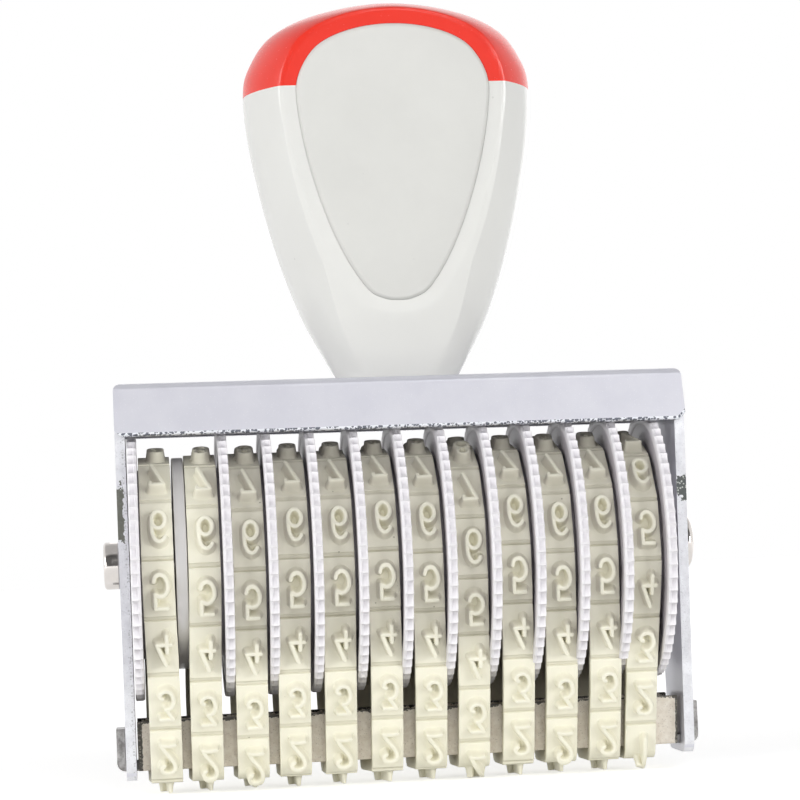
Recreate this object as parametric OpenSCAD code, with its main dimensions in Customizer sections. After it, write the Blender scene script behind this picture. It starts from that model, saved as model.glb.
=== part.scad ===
// Hand numbering stamp with twelve numeral bands, set by thumbwheels on one axle.
// +X runs along the axle, -Y is the side with the plate, +Z points up.
// The origin is under the middle of the stamp, on the plane of the type faces.

/* [Bands] */
// Width of a numeral band
band_w = 4.3; // [3.5:0.1:6]
// Thickness of a band from its inside to the face of a tile
band_t = 1.7; // [1.4:0.1:2.2]
// Height of the raised type above the face of a tile
type_h = 1.5; // [0.8:0.1:2]
// Width of a type block across the band
type_w = 2.8; // [2:0.1:3.2]
// Length of a type block along the band, at its face
type_len = 4.8; // [3:0.1:5.5]
// Slope of a type block's flanks, as the extra length at each end of its foot
type_flare = 0.45; // [0.1:0.05:0.8]
// Depth of the groove between two tiles
groove_d = 0.7; // [0.3:0.1:1]
// Width of the groove between two tiles
groove_w = 0.6; // [0.2:0.1:1]

/* [Wheels] */
// Radius of a thumbwheel over its teeth
wheel_r = 19.1; // [18:0.1:21]
// Width of a thumbwheel's rim
rim_w = 1.6; // [1.2:0.1:2.4]
// Depth of the scoops between the teeth of the rim
tooth_h = 0.8; // [0.4:0.1:1.1]
// Depth of the toothed rim ring
rim_ring = 1.7; // [1:0.1:2.5]
// How far each side of the web lies below the rim
web_sink = 0.2; // [0.1:0.05:0.4]
// Radius of the drum that a band runs over
drum_r = 13.3; // [12:0.1:14]
// Wall of the drum
drum_wall = 1.6; // [1:0.1:2.5]
// Radius of a thumbwheel's hub
hub_r = 4.6; // [4:0.1:6]
// Radius of the separator disc between the first two bands
disc_r = 14.9; // [13:0.1:15.2]
// Thickness of the separator disc
disc_w = 1.6; // [1:0.1:2.5]

/* [Frame] */
// Thickness of the frame's steel sheet
sheet_t = 1.4; // [1:0.1:1.8]
// Depth of the frame's top channel, front to back
channel_d = 22; // [19:0.5:26]
// Height of the channel's front and back flanges
flange_h = 7.3; // [5.5:0.1:9]
// Outer radius of the frame's bends
bend_r = 2; // [1.9:0.1:2.6]
// Room between the tips of the wheels and the inside of the channel
top_room = 5; // [4.6:0.1:8]
// Width of a leg at its foot, front to back
foot_d = 12; // [9:0.5:14]
// Height of the feet above the type faces
foot_lift = 2.1; // [1:0.1:2.4]
// Rounding of the corners of a foot
foot_r = 2; // [0.5:0.1:3]
// Seam between a leg and the flanges beside it
leg_seam = 0.2; // [0.1:0.05:0.5]
// Chamfer at the lower corners of the flanges
flange_chamfer = 0.9; // [0.3:0.1:1.5]

/* [Anvil] */
// Thickness of the anvil's sheet
anvil_t = 1.2; // [0.8:0.1:1.3]
// Half of the flat under the anvil that carries the printing tiles
anvil_flat = 3.2; // [2.5:0.1:3.6]
// Radius of the anvil's lower edges
anvil_edge_r = 0.4; // [0.2:0.05:0.6]
// Height of the anvil
anvil_h = 6.9; // [5:0.1:7.5]
// How far the anvil's walls lean outwards by their top
anvil_lean = 1.4; // [0:0.1:1.8]
// Width of the tongue at each end of the anvil
tongue_w = 5; // [3:0.1:6]
// Distance from the axle down to the inside of the bands under the anvil
band_drop = 28.8; // [27.5:0.1:32]

/* [Axle] */
// Radius of the axle
axle_r = 2; // [1.5:0.1:2.5]
// Radius of the axle's domed head
head_r = 4; // [3.2:0.1:5]
// How far the head and the nut stand out from the legs
end_h = 2.2; // [1.6:0.1:3]
// Radius of the sleeve nut
nut_r = 3.35; // [2.9:0.05:4.5]
// Thickness of the spring washer between the last wheel and its leg
spring_t = 2; // [1.2:0.1:2.5]
// Thickness of the spring washer's metal
spring_metal = 0.5; // [0.3:0.1:0.7]
// Outer radius of the spring washer
spring_r = 5.6; // [4.5:0.1:7]

/* [Handle] */
// Half width of the handle at its foot
handle_foot = 8.8; // [7:0.1:10]
// Half width of the handle at its widest
handle_half = 20.3; // [18:0.1:24]
// Height of the handle
handle_h = 53.2; // [46:0.1:64]
// Half depth of the handle at its foot
handle_foot_d = 6.5; // [5.5:0.1:8]
// Half depth of the handle's faces, near its top
handle_top_d = 12.2; // [10:0.1:14]
// Height of the joint between the body and the cap
cap_split = 40.7; // [36:0.1:43]
// Sharpness of the crease round each face of the handle, in degrees
crease = 35; // [15:1:55]
// Thickness of the label plate
plate_t = 1.2; // [0.8:0.1:1.8]
// Depth of the pocket that the label plate sits in
plate_pocket = 0.7; // [0.4:0.1:1]
// Bevel round the label plate
plate_bevel = 0.35; // [0.1:0.05:0.5]

/* [Screw] */
// Radius of the screw that holds the handle
screw_r = 2; // [1.5:0.1:2.5]
// Length of that screw inside the handle
screw_len = 16; // [8:0.5:24]
// Radius of the screw's head
screw_head_r = 3.8; // [3.5:0.1:5]
// Height of the screw's head
screw_head_h = 2; // [1.2:0.1:2.4]
// Thickness of the washer under the screw's head
washer_t = 0.7; // [0.4:0.1:1]
// Outer radius of that washer
washer_r = 4.6; // [4.2:0.1:6]

/* [Clearances] */
// Gap at each side of a band
side_gap = 0.1; // [0.05:0.05:0.3]
// Gap between a drum and the band round it
drum_gap = 0.2; // [0.15:0.05:0.4]
// Radial clearance of a wheel on the axle
run_fit = 0.05; // [0.02:0.01:0.1]
// Clearance of pieces that are put together and stay so
seat_gap = 0.1; // [0.05:0.05:0.2]
// Gap between the first wheel and its leg
leg_gap = 0.2; // [0.1:0.05:0.5]

/* [Hidden] */
$fn = 64;

wheel_count = 12;
teeth = 65;
// Where the tip nearest the front of each wheel stands, in steps below the axle
tooth_turn = [0.61, 0.03, 0.08, 0.15, 0.28, 0.01, 0.54, 0.34, 0.3, 0.86, 0.3, 0.68];
tile_count = 15;
numeral_count = 10; // the other tiles of a band are blank
// How far each band is wound past its printing place, towards the front
band_wind = [0.9, -0.6, -1.4, 0, 0, 0.5, 0, -3.7, 0.6, -0.7, 0, 5.8];
eps = 0.01; // lets one solid reach into its own other half
reach = 200; // longer than the stamp
arc_steps = 30; // straight stretches that stand for the drum's arc inside a band, each side
edge_steps = 4; // the same round an edge of the anvil
side_rings = 4; // bands of facets from the handle's side edge to a face

// The row of wheels along the axle
slot_w = band_w + 2 * side_gap;
pitch_x = slot_w + rim_w;
row_w = 2 * rim_w + 2 * slot_w + disc_w + (wheel_count - 2) * pitch_x;
inner_w = leg_gap + row_w + side_gap + spring_t + seat_gap;
frame_w = inner_w + 2 * sheet_t;
row_x = -inner_w / 2 + leg_gap;
disc_x = row_x + rim_w + slot_w;
function wheel_x(i) = i == 1 ? row_x : row_x + rim_w + 2 * slot_w + disc_w + (i - 2) * pitch_x;
function band_x(i) = i == 1 ? row_x + rim_w + side_gap : wheel_x(i) - slot_w + side_gap;

// Heights
axle_z = type_h + band_t + band_drop;
channel_z = axle_z + wheel_r + top_room;
frame_top = channel_z + sheet_t;
flange_z = frame_top - flange_h;
anvil_z = axle_z - band_drop + seat_gap;

// The path of a band: a flat under the anvil, an edge, a straight run and the drum's arc.
// It is measured along the faces of the tiles, from under the axle and up the front.
inside_r = drum_r + drum_gap;
face_r = inside_r + band_t;
edge_r = anvil_edge_r + seat_gap;
edge_z = -band_drop + edge_r;
edge_far = norm([anvil_flat, edge_z]);
run_len = sqrt(edge_far ^ 2 - (inside_r - edge_r) ^ 2);
lean = asin((inside_r - edge_r) / edge_far) - atan2(anvil_flat, -edge_z);
edge_len = (edge_r + band_t) * (90 - lean) * PI / 180;
drum_len = face_r * (90 + lean) * PI / 180;
run_start = anvil_flat + edge_len;
drum_start = run_start + run_len;
half_loop = drum_start + drum_len;
tile_len = 2 * half_loop / tile_count;

function wrapped(s) = s - 2 * half_loop * round(s / (2 * half_loop));
function on_flat(a, h) = [-a, -band_drop - h];
function on_edge(a, h) = let (t = (a - anvil_flat) / edge_len * (90 - lean))
    [-anvil_flat, edge_z] + (edge_r + h) * [-sin(t), -cos(t)];
function on_run(a, h) = on_edge(run_start, h) + (a - run_start) * [-sin(lean), cos(lean)];
function on_drum(a, h) = let (t = lean - (a - drum_start) / face_r * 180 / PI)
    -(inside_r + h) * [cos(t), sin(t)];
function front_point(a, h) = a <= anvil_flat ? on_flat(a, h)
    : a <= run_start ? on_edge(a, h)
    : a <= drum_start ? on_run(a, h)
    : on_drum(a, h);
// The point at length s along the path and height h above the band's inside
function path_point(s, h) = let (w = wrapped(s), p = front_point(abs(w), h))
    [w < 0 ? -p.x : p.x, p.y + axle_z];
function is_round(s) = abs(wrapped(s)) > drum_start;

// Outlines of the handle: half width and height, from the foot's middle to the top's middle
side_keys = [[0, 0], [handle_foot, 0], [handle_half * 0.5, handle_h * 0.05],
    [handle_half * 0.68, handle_h * 0.19], [handle_half * 0.84, handle_h * 0.38],
    [handle_half * 0.965, handle_h * 0.61], [handle_half, handle_h * 0.77],
    [handle_half * 0.945, handle_h * 0.85], [handle_half * 0.79, handle_h * 0.925],
    [handle_half * 0.48, handle_h * 0.975], [0, handle_h]];
face_keys = [[0, 0], [handle_half * 0.2, 0],
    [handle_half * 0.34, handle_h * 0.08], [handle_half * 0.44, handle_h * 0.19],
    [handle_half * 0.56, handle_h * 0.38], [handle_half * 0.695, handle_h * 0.6],
    [handle_half * 0.75, handle_h * 0.75], [handle_half * 0.7, handle_h * 0.82],
    [handle_half * 0.55, handle_h * 0.885], [handle_half * 0.3, handle_h * 0.932],
    [0, handle_h * 0.948]];
plate_keys = [[0, handle_h * 0.19], [handle_half * 0.19, handle_h * 0.222],
    [handle_half * 0.35, handle_h * 0.308], [handle_half * 0.49, handle_h * 0.423],
    [handle_half * 0.59, handle_h * 0.556], [handle_half * 0.645, handle_h * 0.677],
    [handle_half * 0.65, handle_h * 0.76], [handle_half * 0.56, handle_h * 0.83],
    [handle_half * 0.43, handle_h * 0.87], [handle_half * 0.23, handle_h * 0.895],
    [0, handle_h * 0.903]];
key_steps = 3; // points on each stretch between two keys
face_slope = atan2(handle_top_d - handle_foot_d, handle_h);

// The key before the first and after the last is its mirror image across the middle
function key(keys, i) = i < 0 ? [-keys[-i].x, keys[-i].y]
    : i >= len(keys) ? let (j = 2 * len(keys) - 2 - i) [-keys[j].x, keys[j].y]
    : keys[i];
// Smooth curve through the keys
function smooth(keys, i, t) = let (
        a = key(keys, i - 1), b = key(keys, i), c = key(keys, i + 1), d = key(keys, i + 2),
        p = 0.5 * (2 * b + (c - a) * t + (2 * a - 5 * b + 4 * c - d) * t ^ 2
            + (3 * b - 3 * c + d - a) * t ^ 3))
    [p.x, max(p.y, 0)];
function half_curve(keys) = [for (i = [0:len(keys) - 2], k = [0:key_steps - 1])
    smooth(keys, i, k / key_steps)];
// Whole outline, up the right side and down the left one
function outline(keys) = let (h = half_curve(keys), n = len(h))
    concat(h, [keys[len(keys) - 1]], [for (i = [n - 1:-1:1]) [-h[i].x, h[i].y]]);

// Places children with X along the axle, at the axle's height
module on_axle(x) {
    translate([x, 0, axle_z]) rotate([0, 90, 0]) children();
}

// Extrudes an outline drawn in Y and Z along the axle
module along_x(x, w) {
    translate([x, 0, 0]) rotate([90, 0, 90]) linear_extrude(w) children();
}

// Extrudes an outline drawn in X and Z from front to back, about the middle
module along_y(d) {
    translate([0, d / 2, 0]) rotate([90, 0, 0]) linear_extrude(d) children();
}

// Upright rectangle about the middle with its two upper corners rounded
module arched(w, z_low, z_high, r) {
    translate([-w / 2, z_low]) square([w, z_high - z_low - r]);
    translate([-w / 2 + r, z_low]) square([w - 2 * r, z_high - z_low]);
    for (s = [-1, 1]) translate([s * (w / 2 - r), z_high - r]) circle(r);
}

// Outline of a leg seen from the side, wide in the channel and tapered to its foot
module leg_outline() {
    top_half = channel_d / 2 - sheet_t - leg_seam;
    foot_half = foot_d / 2;
    polygon([[-top_half, frame_top], [-top_half, flange_z], [-foot_half, foot_lift + foot_r],
        [-foot_half + foot_r, foot_lift], [foot_half - foot_r, foot_lift],
        [foot_half, foot_lift + foot_r], [top_half, flange_z], [top_half, frame_top]]);
    for (s = [-1, 1]) translate([s * (foot_half - foot_r), foot_lift + foot_r]) circle(foot_r);
}

// Steel bracket: a top channel with two flanges and a leg at each end
module frame() {
    color("gainsboro") difference() {
        union() {
            intersection() {
                along_x(-frame_w / 2, frame_w) difference() {
                    arched(channel_d, flange_z, frame_top, bend_r);
                    arched(channel_d - 2 * sheet_t, flange_z - eps, channel_z, bend_r - sheet_t);
                }
                along_y(channel_d) difference() {
                    arched(frame_w, flange_z, frame_top, bend_r);
                    for (s = [-1, 1]) translate([s * frame_w / 2, flange_z]) rotate(45)
                        square(flange_chamfer * sqrt(2), center = true);
                }
            }
            intersection() {
                along_y(channel_d) difference() {
                    arched(frame_w, foot_lift, frame_top, bend_r);
                    arched(inner_w, foot_lift - eps, channel_z, bend_r - sheet_t);
                }
                along_x(-frame_w / 2, frame_w) leg_outline();
            }
        }
        on_axle(-frame_w / 2 - eps) cylinder(r = axle_r + seat_gap, h = frame_w + 2 * eps);
        tongue_passage();
        translate([0, 0, channel_z - eps]) cylinder(r = screw_r + seat_gap, h = sheet_t + 2 * eps);
    }
}

// Slot through both legs for the anvil's tongues
module tongue_passage() {
    w = tongue_w + 2 * seat_gap;
    translate([-frame_w / 2 - eps, -w / 2, anvil_z - seat_gap])
        cube([frame_w + 2 * eps, w, anvil_t + 2 * seat_gap]);
}

// Section of the anvil: a channel that opens upwards, with leaning walls
module anvil_section() {
    low = anvil_flat + edge_r - seat_gap;
    high = low + anvil_lean;
    polygon([[-low, anvil_z + anvil_edge_r], [-low + anvil_edge_r, anvil_z],
        [low - anvil_edge_r, anvil_z], [low, anvil_z + anvil_edge_r],
        [high, anvil_z + anvil_h], [high - anvil_t, anvil_z + anvil_h],
        [low - anvil_t, anvil_z + anvil_t], [-low + anvil_t, anvil_z + anvil_t],
        [-high + anvil_t, anvil_z + anvil_h], [-high, anvil_z + anvil_h]]);
    for (s = [-1, 1]) translate([s * (low - anvil_edge_r), anvil_z + anvil_edge_r])
        circle(anvil_edge_r, $fn = 24);
}

// Tongue through the right leg, folded up against its outside
module tongue_outline() {
    leg_face = frame_w / 2 + seat_gap;
    bend = anvil_t;
    translate([0, anvil_z]) square([leg_face, anvil_t]);
    translate([leg_face, anvil_z + bend]) square([anvil_t, anvil_h - bend]);
    intersection() {
        translate([leg_face, anvil_z + bend]) circle(bend);
        translate([leg_face, anvil_z]) square(bend);
    }
}

// Pressed bar that the bands run under, held by its two folded tongues
module anvil() {
    end_room = 4 * seat_gap;
    color("wheat") union() {
        along_x(-inner_w / 2 + end_room, inner_w - 2 * end_room) anvil_section();
        intersection() {
            along_y(tongue_w) union() {
                tongue_outline();
                mirror([1, 0]) tongue_outline();
            }
            translate([-reach / 2, -tongue_w / 2, 0]) cube([reach, tongue_w, frame_top]);
        }
    }
}

// Axle with its domed head outside the right leg
module axle_bolt() {
    seat = frame_w / 2 + seat_gap;
    rim_h = (end_h - seat_gap) * 0.45;
    dome_h = end_h - seat_gap - rim_h;
    dome_r = (head_r ^ 2 + dome_h ^ 2) / (2 * dome_h);
    color("silver") union() {
        on_axle(-frame_w / 2 - end_h * 0.7) cylinder(r = axle_r, h = frame_w + end_h * 0.7 + seat_gap + eps);
        on_axle(seat) cylinder(r = head_r, h = rim_h);
        intersection() {
            on_axle(seat + rim_h + dome_h - dome_r) sphere(dome_r);
            on_axle(seat) cylinder(r = head_r, h = rim_h + dome_h + eps);
        }
    }
}

// Sleeve nut on the left end of the axle
module axle_nut() {
    edge = 0.35;
    h = end_h - seat_gap;
    color("silver") on_axle(-frame_w / 2 - end_h) rotate_extrude() polygon([
        [axle_r + run_fit, 0], [nut_r - edge, 0], [nut_r, edge], [nut_r, h], [axle_r + run_fit, h]]);
}

// Dished washer that keeps the row of wheels from turning by themselves
module spring_washer() {
    rise = spring_t - spring_metal;
    color("darkgray") on_axle(inner_w / 2 - seat_gap - spring_t) rotate_extrude() polygon([
        [axle_r + seat_gap, rise], [axle_r + 3 * spring_metal, rise],
        [spring_r - 2 * spring_metal, 0], [spring_r, 0], [spring_r, spring_metal],
        [spring_r - 2 * spring_metal, spring_metal], [axle_r + 3 * spring_metal, spring_t],
        [axle_r + seat_gap, spring_t]]);
}

// Smooth disc between the first two bands, which have no rim between them
module separator_disc() {
    edge = 0.2;
    w = disc_w;
    color("lightgray") on_axle(disc_x) rotate_extrude() polygon([
        [axle_r + run_fit, 0], [disc_r - edge, 0], [disc_r, edge], [disc_r, w - edge],
        [disc_r - edge, w], [axle_r + run_fit, w]]);
}

// Ring of teeth round a rim: sharp tips with a scoop between each two, deepest under the upper tip
module tooth_ring(way) {
    step = 360 / teeth;
    linear_extrude(rim_w) difference() {
        polygon([for (i = [0:teeth - 1], p = [[0, 0], [0.18, 0.8], [0.4, 1], [0.7, 0.65]])
            (wheel_r - tooth_h * p.y) * [cos((i + p.x) * step), way * sin((i + p.x) * step)]]);
        circle(wheel_r - rim_ring - eps, $fn = teeth);
    }
}

// Section of a thumbwheel: hub, web and drum, with the rim's outer face at height 0
module wheel_section() {
    bore = axle_r + run_fit;
    low = web_sink;
    high = rim_w - web_sink;
    far = rim_w + slot_w - side_gap;
    ring = wheel_r - rim_ring;
    polygon([[bore, 0], [hub_r, 0], [hub_r, low], [ring, low], [ring, high], [drum_r, high],
        [drum_r, far], [drum_r - drum_wall, far], [drum_r - drum_wall, rim_w],
        [hub_r, rim_w], [hub_r, far], [bore, far]]);
}

// Thumbwheel with its drum on the right of the rim, or on the left of it
module wheel(i) {
    way = i == 1 ? 1 : -1;
    color("lavender") translate([i == 1 ? wheel_x(i) : wheel_x(i) + rim_w, 0, axle_z])
        rotate([0, way * 90, 0]) union() {
            rotate_extrude($fn = teeth) wheel_section();
            rotate(-90 + way * tooth_turn[i - 1] * 360 / teeth) tooth_ring(way);
        }
}

// The face of one tile: straight on the drum, bent round the anvil's edges elsewhere
function tile_face(s0, s1) = is_round(s0) && is_round(s1)
    ? [path_point(s0, band_t), path_point(s1, band_t)]
    : [for (k = [0:6]) path_point(s0 + (s1 - s0) * k / 6, band_t)];

// Lengths along the path at which the smooth inside of a band has its corners
function loop_steps(from, to, n) = [for (k = [0:n]) from + (to - from) * k / n];
inside_steps = concat(loop_steps(-half_loop, -drum_start, arc_steps),
    loop_steps(-run_start, -anvil_flat, edge_steps), loop_steps(anvil_flat, run_start, edge_steps),
    loop_steps(drum_start, half_loop * (1 - 1 / arc_steps / 2), arc_steps));

// Outline of a band: flat tiles with a groove between each two, over a smooth inside
module band_outline(wind) {
    half = (tile_len - groove_w) / 2;
    difference() {
        polygon([for (j = [0:tile_count - 1]) let (c = j * tile_len + wind)
            each concat(tile_face(c - half, c + half),
                [path_point(c + tile_len / 2, band_t - groove_d)])]);
        polygon([for (s = inside_steps) path_point(s, 0)]);
    }
}

// Outlines of the type blocks on a band, with sloping flanks
module type_outline(wind) {
    face_half = type_len / 2;
    foot_half = face_half + type_flare;
    for (j = [0:numeral_count - 1]) {
        c = j * tile_len + wind;
        polygon(concat(
            [for (s = loop_steps(c - face_half, c + face_half, 4)) path_point(s, band_t + type_h)],
            [for (s = loop_steps(c + foot_half, c - foot_half, 4)) path_point(s, band_t - groove_d)]));
    }
}

// Rubber numeral band, looped over its drum and under the anvil
module band(i) {
    wind = band_wind[i - 1];
    color("beige") union() {
        along_x(band_x(i), band_w) band_outline(wind);
        along_x(band_x(i) + (band_w - type_w) / 2, type_w) type_outline(wind);
    }
}

// One ring of the handle's surface, from the crease of a face to the side edge at 90 degrees
function face_depth(h) = handle_foot_d + (handle_top_d - handle_foot_d) * h / handle_h;
function handle_ring(t, side) = let (
        a = outline(face_keys), b = outline(side_keys),
        w = (sin(t) - sin(crease)) / (1 - sin(crease)))
    [for (i = [0:len(a) - 1]) let (p = a[i] + (b[i] - a[i]) * w)
        [p.x, side * face_depth(a[i].y) * cos(t) / cos(crease), frame_top + p.y]];

// The whole handle: two flat sloping faces and a bulging side round both
module handle_form() {
    steps = concat(loop_steps(crease, 90, side_rings), loop_steps(90, crease, side_rings));
    count = 2 * side_rings + 1;
    rings = [for (k = [0:count - 1]) k <= side_rings
        ? handle_ring(steps[k], -1) : handle_ring(steps[k + 1], 1)];
    n = len(rings[0]);
    middles = [for (side = [-1, 1]) [0, side * face_depth(handle_h / 2), frame_top + handle_h / 2]];
    polyhedron(
        points = concat([for (ring = rings) each ring], middles),
        faces = [for (i = [0:n - 1]) let (j = (i + 1) % n, back = (count - 1) * n)
            each concat([[count * n, j, i], [count * n + 1, back + i, back + j]],
                [for (k = [0:count - 2]) let (a = k * n + i, b = k * n + j)
                    each [[a, b, b + n], [a, b + n, a + n]]])]);
}

// Places a drawing on the handle's front face, with Y up the face from its foot
module on_face() {
    translate([0, -handle_foot_d, frame_top]) rotate([90 + face_slope, 0, 0]) children();
}

module plate_outline() {
    polygon([for (p = outline(plate_keys)) [p.x, p.y / cos(face_slope)]]);
}

module plate_seat() {
    on_face() translate([0, 0, -plate_pocket]) linear_extrude(plate_t + plate_pocket)
        offset(delta = seat_gap) plate_outline();
}

// White lower part of the handle
module handle_body() {
    color("whitesmoke") difference() {
        intersection() {
            handle_form();
            translate([-reach / 2, -reach / 2, frame_top]) cube([reach, reach, cap_split]);
        }
        plate_seat();
        translate([0, 0, frame_top - eps]) cylinder(r = screw_r + run_fit, h = screw_len + 1);
    }
}

// Coloured cap that closes the handle's top
module handle_cap() {
    color("tomato") difference() {
        intersection() {
            handle_form();
            translate([-reach / 2, -reach / 2, frame_top + cap_split]) cube([reach, reach, handle_h]);
        }
        plate_seat();
    }
}

// Bare plate let into the front of the handle
module label_plate() {
    color("lightgray") on_face() translate([0, 0, -plate_pocket]) hull() {
        linear_extrude(plate_t - plate_bevel) plate_outline();
        linear_extrude(plate_t) offset(delta = -plate_bevel) plate_outline();
    }
}

// Screw that comes up through the frame into the handle
module handle_screw() {
    under = channel_z - washer_t;
    slot = 0.8;
    color("silver") difference() {
        union() {
            translate([0, 0, under]) cylinder(r = screw_r, h = frame_top - under + screw_len);
            translate([0, 0, under]) mirror([0, 0, 1]) rotate_extrude() polygon([
                [0, 0], [screw_head_r, 0], [screw_head_r, screw_head_h * 0.55],
                [screw_head_r * 0.93, screw_head_h * 0.8], [screw_head_r * 0.75, screw_head_h],
                [0, screw_head_h]]);
        }
        translate([-screw_head_r, -slot / 2, under - screw_head_h - eps])
            cube([2 * screw_head_r, slot, screw_head_h / 2]);
    }
}

module screw_washer() {
    color("darkgray") translate([0, 0, channel_z - washer_t]) difference() {
        cylinder(r = washer_r, h = washer_t);
        translate([0, 0, -eps]) cylinder(r = screw_r + seat_gap, h = washer_t + 2 * eps);
    }
}

frame();
anvil();
axle_bolt();
axle_nut();
spring_washer();
separator_disc();
wheel(1);  // wheel_1
wheel(2);  // wheel_2
wheel(3);  // wheel_3
wheel(4);  // wheel_4
wheel(5);  // wheel_5
wheel(6);  // wheel_6
wheel(7);  // wheel_7
wheel(8);  // wheel_8
wheel(9);  // wheel_9
wheel(10);  // wheel_10
wheel(11);  // wheel_11
wheel(12);  // wheel_12
band(1);  // band_1
band(2);  // band_2
band(3);  // band_3
band(4);  // band_4
band(5);  // band_5
band(6);  // band_6
band(7);  // band_7
band(8);  // band_8
band(9);  // band_9
band(10);  // band_10
band(11);  // band_11
band(12);  // band_12
handle_body();
handle_cap();
label_plate();
handle_screw();
screw_washer();
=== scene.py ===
import math
import bmesh
import bpy
import numpy as np
from mathutils import Matrix, Vector


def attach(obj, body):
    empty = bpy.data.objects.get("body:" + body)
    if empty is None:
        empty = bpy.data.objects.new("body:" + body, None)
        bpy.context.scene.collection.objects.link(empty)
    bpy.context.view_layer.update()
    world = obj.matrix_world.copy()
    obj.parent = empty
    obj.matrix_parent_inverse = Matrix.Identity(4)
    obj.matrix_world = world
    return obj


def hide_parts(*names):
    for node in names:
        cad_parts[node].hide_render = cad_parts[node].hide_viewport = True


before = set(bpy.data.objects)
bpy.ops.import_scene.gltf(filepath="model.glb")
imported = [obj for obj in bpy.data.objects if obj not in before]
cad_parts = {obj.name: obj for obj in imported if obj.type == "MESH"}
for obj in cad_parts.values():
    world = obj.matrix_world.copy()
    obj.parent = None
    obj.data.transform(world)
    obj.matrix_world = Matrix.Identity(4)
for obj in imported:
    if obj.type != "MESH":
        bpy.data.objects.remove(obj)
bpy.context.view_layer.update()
mm = 0.001
axleHeight = 32.0        # above the type faces, in millimetres as all sizes here
frameTop = 56.7          # where the handle stands
print("solids loaded:", len(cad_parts))


# Meshes are grids of points in millimetres, worked out as whole arrays

def gridQuads(rows, columns, closeRows=False, closeColumns=False):
    # every quad of a grid of points, counted row by row
    row = np.arange(rows if closeRows else rows - 1)[:, None]
    column = np.arange(columns if closeColumns else columns - 1)[None, :]
    nextRow = (row + 1) % rows * columns
    nextColumn = (column + 1) % columns
    corners = [row * columns + column, row * columns + nextColumn, nextRow + nextColumn, nextRow + column]
    return np.stack(np.broadcast_arrays(*corners), -1).reshape(-1, 4)


def throughKeys(full, steps):
    # Catmull-Rom curve, a cubic from key to key; the first and the last row only steer its ends
    a, b, c, d = (full[k:len(full) - 3 + k, None] for k in range(4))
    t = (np.arange(steps) / steps)[None, :, None]
    curve = 2 * b + (c - a) * t + (2 * a - 5 * b + 4 * c - d) * t ** 2
    curve = 0.5 * (curve + (3 * b - 3 * c + d - a) * t ** 3)
    return np.concatenate([curve.reshape(-1, 2), full[-2:-1]])


def smoothPath(keys, steps):
    # the curve through the keys, as if they went straight on past both ends
    keys = np.asarray(keys, float)
    return throughKeys(np.concatenate([[2 * keys[0] - keys[1]], keys, [2 * keys[-1] - keys[-2]]]), steps)


def buildMesh(name, points, quads, tone, sharp=35):
    # doubles, points closer than a micrometre, are merged, so that a row of equal points closes a pole
    mesh = bpy.data.meshes.new(name)
    mesh.vertices.add(len(points))
    mesh.vertices.foreach_set("co", (np.asarray(points) * mm).astype(np.float32).ravel())
    mesh.loops.add(quads.size)
    mesh.loops.foreach_set("vertex_index", quads.astype(np.int32).ravel())
    mesh.polygons.add(len(quads))
    mesh.polygons.foreach_set("loop_start", (np.arange(len(quads)) * 4).astype(np.int32))
    mesh.update(calc_edges=True)
    shade = mesh.attributes.new("tone", "FLOAT", "POINT").data
    shade.foreach_set("value", np.asarray(tone, np.float32).ravel())
    work = bmesh.new()
    work.from_mesh(mesh)
    bmesh.ops.remove_doubles(work, verts=work.verts, dist=0.001 * mm)
    bmesh.ops.recalc_face_normals(work, faces=work.faces)
    work.to_mesh(mesh)
    work.free()
    mesh.validate()
    mesh.shade_smooth()
    mesh.set_sharp_from_angle(angle=math.radians(sharp))
    return mesh


def addPiece(name, mesh, material, body, nodes):
    piece = bpy.data.objects.new(name, mesh)
    bpy.context.scene.collection.objects.link(piece)
    piece.data.materials.append(material)
    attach(piece, body)
    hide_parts(*nodes)
    return piece


def lathe(x, radius, steps):
    # a closed section, places on the axle and radii, carried round the axle
    turn = np.linspace(0, 2 * np.pi, steps, endpoint=False)[:, None]
    x, radius = np.array(x), np.array(radius)
    rings = np.broadcast_arrays(x, radius * np.cos(turn), axleHeight + radius * np.sin(turn))
    points = np.stack(rings, -1).reshape(-1, 3)
    return points, gridQuads(steps, len(x), True, True), np.zeros(len(points))


# Effects that several materials share

def feed(tree, socket, value):
    # another node's socket is linked, anything else is set
    if isinstance(value, bpy.types.NodeSocket):
        tree.links.new(value, socket)
    else:
        socket.default_value = value


def fill(tree, node, **values):
    # sockets go by their names with the spaces left out, and other names are the node's own settings
    for key, value in values.items():
        socket = next((s for s in node.inputs if s.enabled and s.name.replace(" ", "") == key), None)
        if socket is None:
            setattr(node, key, value)
        else:
            feed(tree, socket, value)
    return node


def newNode(tree, kind, **values):
    return fill(tree, tree.nodes.new(kind), **values)


def newGroup(name, inputs, outputs):
    # an input's first value gives its kind: one number, three for a vector, four for a colour
    group = bpy.data.node_groups.new(name, "ShaderNodeTree")
    for label, value in inputs.items():
        kind = {1: "NodeSocketFloat", 3: "NodeSocketVector", 4: "NodeSocketColor"}[np.size(value)]
        group.interface.new_socket(label, in_out="INPUT", socket_type=kind).default_value = value
    for label in outputs:
        kind = "NodeSocketColor" if label == "Color" else "NodeSocketFloat"
        group.interface.new_socket(label, in_out="OUTPUT", socket_type=kind)
    return group, group.nodes.new("NodeGroupInput").outputs, group.nodes.new("NodeGroupOutput").inputs


def useGroup(tree, group, **values):
    return newNode(tree, "ShaderNodeGroup", node_tree=group, **values).outputs


def calc(tree, operation, first, second, clamp=False):
    node = newNode(tree, "ShaderNodeMath", operation=operation, use_clamp=clamp)
    feed(tree, node.inputs[0], first)
    feed(tree, node.inputs[1], second)
    return node.outputs[0]


def times(tree, first, second):
    return calc(tree, "MULTIPLY", first, second)


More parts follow.
